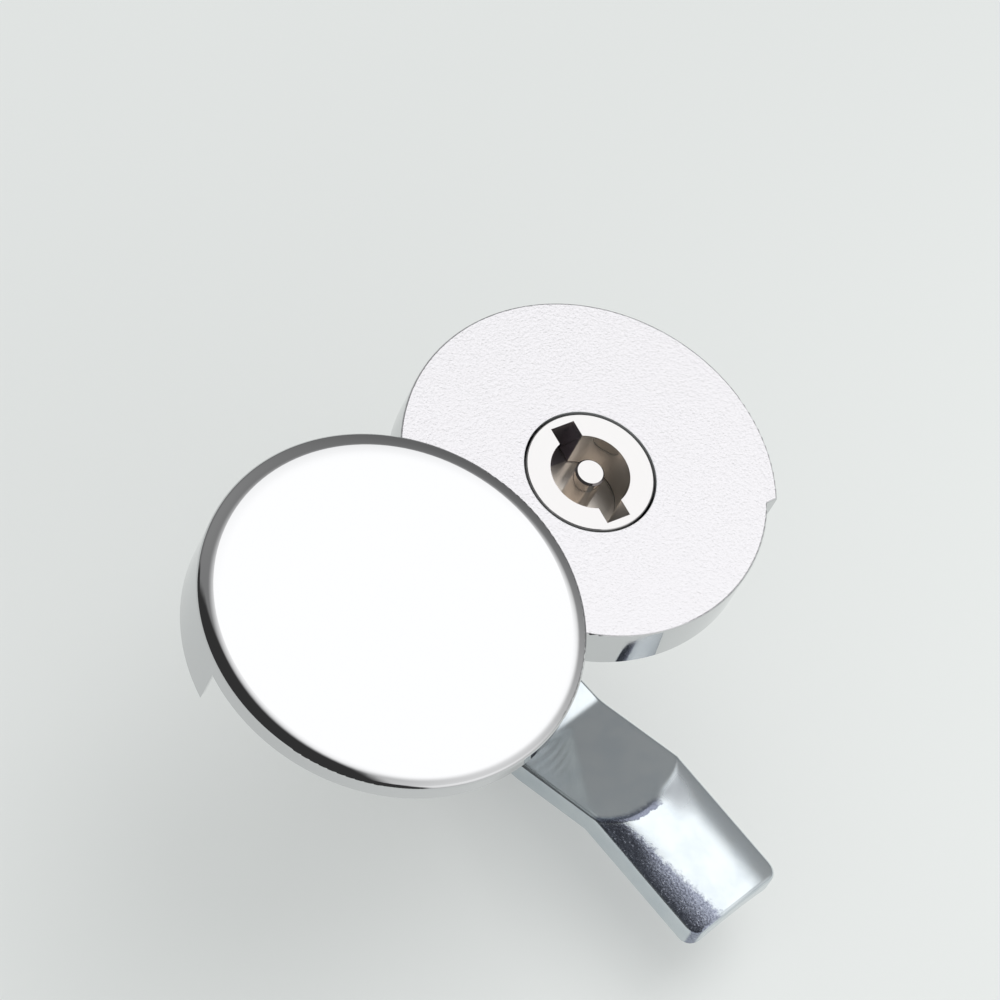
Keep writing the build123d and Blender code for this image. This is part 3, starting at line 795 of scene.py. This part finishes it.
def makeCam(look):
    # rows run along the cam and columns round its section: over the top from side to side and back
    # under it; a row's half width is a circle's at the round end and a rounded corner's at the tip;
    # the upper edge is lowered as a quarter circle is, by its distance from the outline;
    # a last row that goes along the upper edge and straight back closes the end
    half, reach, corner, roll = look["width"] / 2, look["reach"], look["corner"], look["edgeRoll"]
    inset = roll * np.array(look["rollSteps"])
    turn = np.linspace(0, pi / 2, look["roundSteps"])[:-1]
    middle = np.arange(0.0, reach - corner, look["rowPitch"])
    cornerRows = reach - corner + corner * np.sin(np.linspace(0, pi / 2, look["cornerSteps"]))
    along = np.unique(np.concatenate([-half * np.cos(turn), middle, cornerRows, reach - inset]))
    past = np.maximum(along - (reach - corner), 0.0)
    width = half - corner + np.sqrt(np.maximum(corner**2 - past**2, 0.0))
    width = np.where(along < 0, np.sqrt(np.maximum(half**2 - along**2, 0.0)), width)[:, None]
    squeeze = np.minimum(1.0, width / half)
    inner = np.linspace(-1, 1, look["columns"])[None, :] * (width - roll * squeeze)
    near = -width + inset[None, :-1] * squeeze
    across = np.concatenate([near, inner, -near[:, ::-1]], axis=1)
    along = along[:, None] + 0 * across
    sideways = np.abs(across) - (half - corner)
    lengthways = along - (reach - corner)
    boxGap = corner - np.hypot(np.maximum(sideways, 0), np.maximum(lengthways, 0))
    boxGap = boxGap - np.minimum(np.maximum(sideways, lengthways), 0)
    gap = np.where(along < 0, half - np.hypot(along, across), boxGap)
    gap = np.clip(gap, 0.0, roll)
    soft = eased(across, look["softFrom"], look["softTo"])
    soft = soft * (1 - (1 - look["softKept"]) * eased(across, look["softEnd"], half))
    blend = look["crispBlend"] + look["softBlend"] * soft
    top = lower(camBent(look, along, 0.0, look["bendBlend"]), camArched(look, along, across, 0.0), blend)
    top = top - roll + np.sqrt(roll**2 - (roll - gap) ** 2)
    under = camBent(look, along, look["thickness"], look["underBlend"])
    under = np.minimum(under, camArched(look, along, across, look["thickness"]))
    pairs = [(along, along), (across, across), (top, under)]
    loop = [np.concatenate([over, back[:, ::-1]], axis=1) for over, back in pairs]
    points = np.stack(loop, axis=-1)
    upper = points[-1, :points.shape[1] // 2]
    endWall = np.concatenate([upper, upper[::-1]])
    points = np.concatenate([points, endWall[None]], axis=0)
    azimuth = radians(look["azimuth"])
    x = points[..., 0] * cos(azimuth) - points[..., 1] * sin(azimuth)
    y = points[..., 0] * sin(azimuth) + points[..., 1] * cos(azimuth)
    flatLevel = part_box("cam")[0].z + look["thickness"]
    points = np.stack([x, y, points[..., 2] + flatLevel], axis=-1)
    hole = bpy.data.objects.new("camHole", bpy.data.meshes.new("camHole"))
    shape = bmesh.new()
    bmesh.ops.create_cube(shape, size=look["hole"], matrix=Matrix.Rotation(azimuth, 4, "Z"))
    bmesh.ops.translate(shape, verts=shape.verts, vec=(0, 0, flatLevel))
    shape.to_mesh(hole.data)
    shape.free()
    bpy.context.scene.collection.objects.link(hole)
    return gridPiece("cam_plate", points, look["sharpAngle"], hole)


camPlate = makeCam(camShape)
camPlate.data.materials.clear()
camPlate.data.materials.append(finishes["cam"])
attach(camPlate, "barrel")
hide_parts("cam")
print("cam pressed:", len(camPlate.data.polygons), "faces")


# Floor of the key socket, from the values beside the key metal's

def makeSocketFloor(look):
    # radius at each angle: the larger of the round part's and of the slots', which is the nearer of
    # slot / |sin| and reach / |cos|; the profile goes up the pin's side, out and down the wall
    extra = look["overlap"]
    corners = np.arctan2(look["slot"], look["reach"]), np.arcsin(look["slot"] / look["round"])
    quarter = np.concatenate([
        np.linspace(0, corners[0], look["endSteps"])[:-1],
        np.linspace(corners[0], corners[1] - look["cornerGap"], look["sideSteps"]),
        np.linspace(corners[1], pi / 2, look["steps"])[:-1],
    ])
    half = np.concatenate([quarter, [pi / 2], pi - quarter[:0:-1]])
    angle = np.concatenate([half, half + pi])
    slotSide = look["slot"] / np.maximum(np.abs(np.sin(angle)), tiny)
    slotEnd = look["reach"] / np.maximum(np.abs(np.cos(angle)), tiny)
    slots = np.minimum(slotSide, slotEnd)
    outer = np.maximum(look["round"], slots) + extra
    inner = look["pin"] - extra + 0 * angle
    top = faceLevel - look["depth"]
    low = top - look["height"]
    profile = [(inner, low), (inner, top), (outer, top), (outer, low), (inner, low)]
    rows = [np.stack([r * np.cos(angle), r * np.sin(angle), z + 0 * angle], axis=-1) for r, z in profile]
    return gridPiece("socket_floor", np.stack(rows), look["sharpAngle"])


floorOfSocket = makeSocketFloor(socketFloor)
floorOfSocket.data.materials.append(finishes["key_metal"])
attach(floorOfSocket, "barrel")
print("socket floor laid")


# Studio

floorPaper = {
    "colour": (0.715, 0.722, 0.716),
    "farPaintedLightColour": (0.785, 0.793, 0.786),
    "azimuth": 193.5,          # painted light: the paper's colour grows lighter this way
    "nearEnd": -0.08,
    "farEnd": 0.07,
    "ownShare": 0.38,          # the part of its brightness that a shadow doesn't take
    "diffuseShare": 0.65,
    "roughness": 0.9,
    "reach": 3.0,
}


def makeFloor(look):
    # one quad of pale paper below the lowest point
    reach = look["reach"]
    corners = [(-reach, -reach), (reach, -reach), (reach, reach), (-reach, reach)]
    mesh = bpy.data.meshes.new("floorPaper")
    mesh.from_pydata([(x, y, floorLevel) for x, y in corners], [], [(0, 1, 2, 3)])
    floor = bpy.data.objects.new("floorPaper", mesh)
    bpy.context.scene.collection.objects.link(floor)
    material, tree, shader, place = newFinish("floorPaper")
    # painted light: the paper's colour grades lighter towards the azimuth
    paintedLightToFar = ramp(tree, facing(tree, place, look["azimuth"]), look["nearEnd"], look["farEnd"])
    paper = blendColours(tree, paintedLightToFar, look["colour"], look["farPaintedLightColour"])
    dark = (0.0, 0.0, 0.0)
    feed(tree, shader.inputs["Base Color"], blendColours(tree, look["diffuseShare"], dark, paper))
    path = addNode(tree, "ShaderNodeLightPath").outputs
    seen = compute(tree, "MAXIMUM", path["Is Camera Ray"], path["Is Glossy Ray"])
    seen = compute(tree, "MAXIMUM", seen, path["Is Transmission Ray"])
    own = compute(tree, "MULTIPLY", seen, look["ownShare"])
    feed(tree, shader.inputs["Emission Color"], blendColours(tree, own, dark, paper))
    shader.inputs["Emission Strength"].default_value = 1.0
    shader.inputs["Roughness"].default_value = look["roughness"]
    shader.inputs["Specular IOR Level"].default_value = 0.0
    behind = addNode(tree, "ShaderNodeNewGeometry").outputs["Backfacing"]
    feed(tree, shader.inputs["Alpha"], compute(tree, "SUBTRACT", 1.0, behind))  # clear from below
    mesh.materials.append(material)
    return floor


# The room as bright metal sees it; angles in degrees
room = {
    "baseLevel": 0.18,
    "wallAzimuth": 207,        # a pale wall, brightest here and fading away from it
    "wallElevation": 40,
    "wallLevel": 1.10,
    "wallFade": 2.6,
    "flagAzimuth": 109,        # the dark side, where the photographer stands
    "flagElevation": 20,
    "flagSpread": 81,
    "flagSoftness": 2.0,
    "flagLevel": 0.05,
    "wallEdge": 0.12,          # the pale wall ends along y + 0.11 x = -0.12
    "wallEdgeTurn": 0.11,
    "wallEdgeSoftness": 0.05,
    "boxAzimuth": 292,         # the soft box, round and with a soft border
    "boxElevation": 61,
    "boxInner": 13,
    "boxOuter": 27,
    "boxLevel": 1.64,
    "dimAzimuth": 352,         # a dim patch low on the far side
    "dimElevation": 40,
    "dimLevel": 0.16,
    "dimFade": 9.0,
    "plainColour": (0.735, 0.775, 0.765),   # lights the floor and every dull surface, the same all round
    "seenColour": (0.76, 0.775, 0.77),
}


def makeRoom(look):
    # wall and dim patch: base + level * cosine ** fade for each; then the dark side over them,
    # then the soft box over all
    world = bpy.data.worlds.new("studioRoom")
    bpy.context.scene.world = world
    world.use_nodes = True
    tree = world.node_tree
    tree.nodes.clear()
    way = addNode(tree, "ShaderNodeTexCoord").outputs["Generated"]
    toWall = compute(tree, "MAXIMUM", facing(tree, way, look["wallAzimuth"], look["wallElevation"]), 0.0)
    wall = compute(tree, "POWER", toWall, look["wallFade"])
    wall = compute(tree, "MULTIPLY_ADD", wall, look["wallLevel"], look["baseLevel"])
    toDim = compute(tree, "MAXIMUM", facing(tree, way, look["dimAzimuth"], look["dimElevation"]), 0.0)
    dim = compute(tree, "POWER", toDim, look["dimFade"])
    wall = compute(tree, "MULTIPLY_ADD", dim, look["dimLevel"], wall)
    toFlag = facing(tree, way, look["flagAzimuth"], look["flagElevation"])
    spread, soft = look["flagSpread"], look["flagSoftness"]
    flag = ramp(tree, toFlag, cos(radians(spread + soft)), cos(radians(spread - soft)))
    axes = splitPlace(tree, way)
    beyond = compute(tree, "MULTIPLY_ADD", axes["X"], look["wallEdgeTurn"], axes["Y"])
    edge, blur = -look["wallEdge"], look["wallEdgeSoftness"]
    flag = compute(tree, "MULTIPLY", flag, ramp(tree, beyond, edge - blur, edge + blur))
    light = blendValues(tree, flag, wall, look["flagLevel"])
    toBox = facing(tree, way, look["boxAzimuth"], look["boxElevation"])
    box = ramp(tree, toBox, cos(radians(look["boxOuter"])), cos(radians(look["boxInner"])))
    light = blendValues(tree, box, light, look["boxLevel"])
    path = addNode(tree, "ShaderNodeLightPath").outputs
    light = blendColours(tree, path["Is Diffuse Ray"], light, look["plainColour"])
    background = addNode(tree, "ShaderNodeBackground")
    light = blendColours(tree, path["Is Camera Ray"], light, look["seenColour"])
    feed(tree, background.inputs["Color"], light)
    output = addNode(tree, "ShaderNodeOutputWorld")
    tree.links.new(background.outputs[0], output.inputs["Surface"])


def aimed(azimuth, elevation, distance, target):
    # a point seen from the target in that direction, and the turn that faces back to it
    back = direction(azimuth, elevation)
    return target + back * distance, back.to_track_quat("Z", "Y")


def addAreaLight(name, look, target):
    # power = level times pi times the panel's area, so level is the brightness that a mirror shows
    light = bpy.data.lights.new(name, "AREA")
    light.shape = look["shape"]
    light.size, light.size_y = look["size"]
    area = look["size"][0] * look["size"][1] * (pi / 4 if look["shape"] == "ELLIPSE" else 1.0)
    light.energy = look["level"] * pi * area
    light.color = look["colour"]
    lamp = bpy.data.objects.new(name, light)
    lamp.location, turn = aimed(look["azimuth"], look["elevation"], look["distance"], target)
    lamp.rotation_mode = "QUATERNION"
    lamp.rotation_quaternion = turn
    lamp.visible_glossy = look["mirrored"]
    bpy.context.scene.collection.objects.link(lamp)
    return lamp


# Both lamps light what is dull; bright metal sees the room's soft box instead
softBox = {
    "shape": "ELLIPSE", "size": (0.75, 0.75), "azimuth": -60, "elevation": 56, "distance": 1.1,
    "level": 1.64, "colour": (1.0, 1.0, 1.0), "mirrored": False,
}
overheadSilk = {
    "shape": "ELLIPSE", "size": (0.80, 0.80), "azimuth": -56, "elevation": 84, "distance": 1.1,
    "level": 1.2, "colour": (1.0, 1.0, 1.0), "mirrored": False,
}

objectCentre = Vector((-6 * mm, 2 * mm, -10 * mm))
makeFloor(floorPaper)
makeRoom(room)
addAreaLight("softBox", softBox, objectCentre)
addAreaLight("overheadSilk", overheadSilk, objectCentre)
print("studio built")

photoView = {
    "aim": (3.34 * mm, 9.58 * mm, 0.0),
    "azimuth": 124.07,
    "elevation": 55.36,
    "roll": 30.05,
    "distance": 793.8 * mm,
    "lens": 225.1,
}


def makeCamera(look):
    camera = bpy.data.objects.new("photoCamera", bpy.data.cameras.new("photoCamera"))
    camera.data.lens = look["lens"]
    camera.location, turn = aimed(look["azimuth"], look["elevation"], look["distance"], Vector(look["aim"]))
    camera.rotation_mode = "QUATERNION"
    rolled = Matrix.Rotation(radians(look["roll"]), 3, "Z").to_quaternion()
    camera.rotation_quaternion = turn @ rolled
    bpy.context.scene.collection.objects.link(camera)
    bpy.context.scene.camera = camera


makeCamera(photoView)
bpy.context.scene.view_settings.view_transform = "Standard"
print("camera placed")
